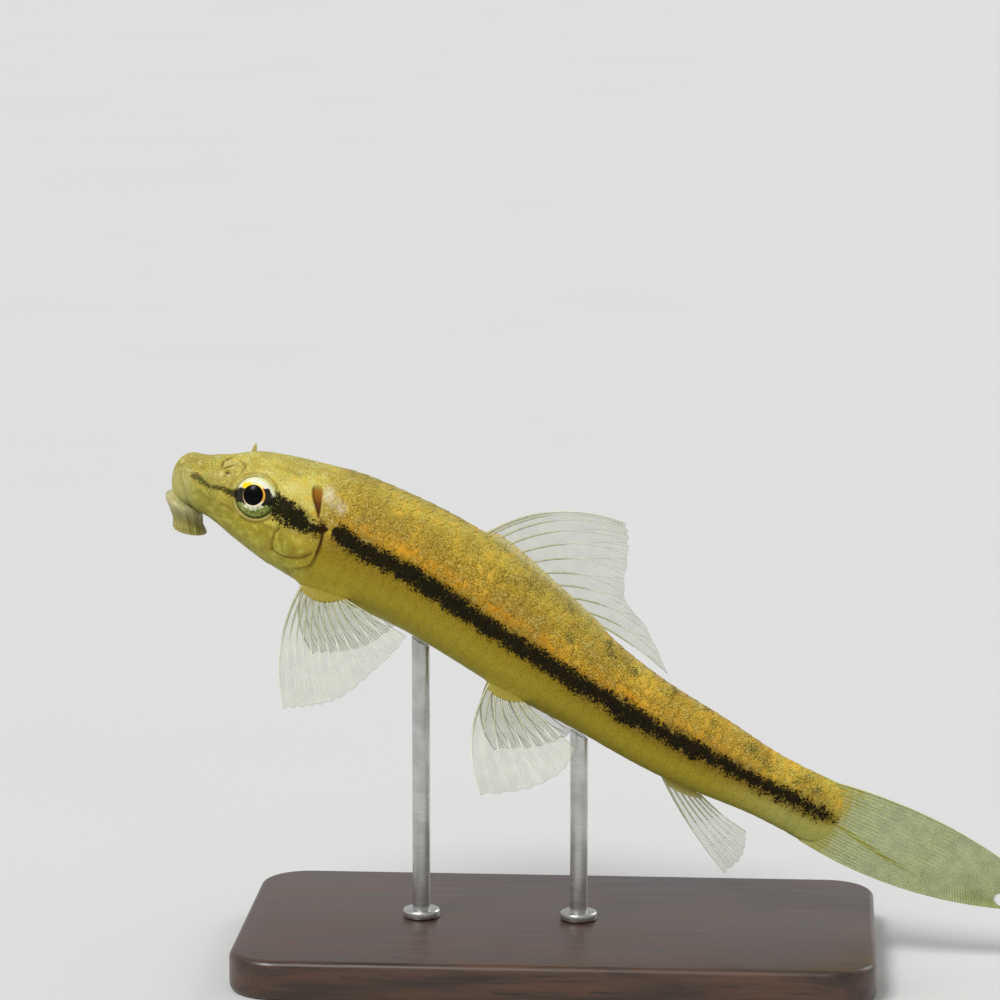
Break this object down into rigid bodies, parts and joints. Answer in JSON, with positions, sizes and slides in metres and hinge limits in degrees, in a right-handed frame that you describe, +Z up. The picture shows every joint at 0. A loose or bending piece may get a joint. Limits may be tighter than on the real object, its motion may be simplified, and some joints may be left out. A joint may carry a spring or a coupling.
{
  "type": "chinese algae eater fish model",
  "caption": "Slender young freshwater fish with a sucker mouth and spread rayed fins, climbing nose up, as a still model on a display stand.",
  "frame": {"origin": "centre of the flat underside of the stand's base", "axes": "+X along the base from the fish's head to its tail, +Y towards the fish's right, +Z up; the fish's left side faces -Y"},
  "size_m": [0.0885, 0.036, 0.0521],
  "materials": {
    "skin": "wet, finely scaled olive-gold fish skin with a dark stripe",
    "lips": "soft, pale greenish lip skin",
    "eye": "glossy, gold iris round a black pupil",
    "fin": "clear membrane between pale green-grey rays",
    "stand_base": "dark stained, satin",
    "stand_rod": "thin brushed rod"
  },
  "bodies": {
    "root": {"head": "skin", "torso": "skin", "tail": "skin", "gill_cover_left": "skin", "gill_cover_right": "skin", "mouth_disc": "lips", "eye_left": "eye", "eye_right": "eye", "dorsal_fin": "fin", "caudal_fin": "fin", "anal_fin": "fin", "pectoral_fin_left": "fin", "pectoral_fin_right": "fin", "pelvic_fin_left": "fin", "pelvic_fin_right": "fin", "stand_base": "stand_base", "stand_rod_front": "stand_rod", "stand_rod_rear": "stand_rod"}
  },
  "joints": []
}
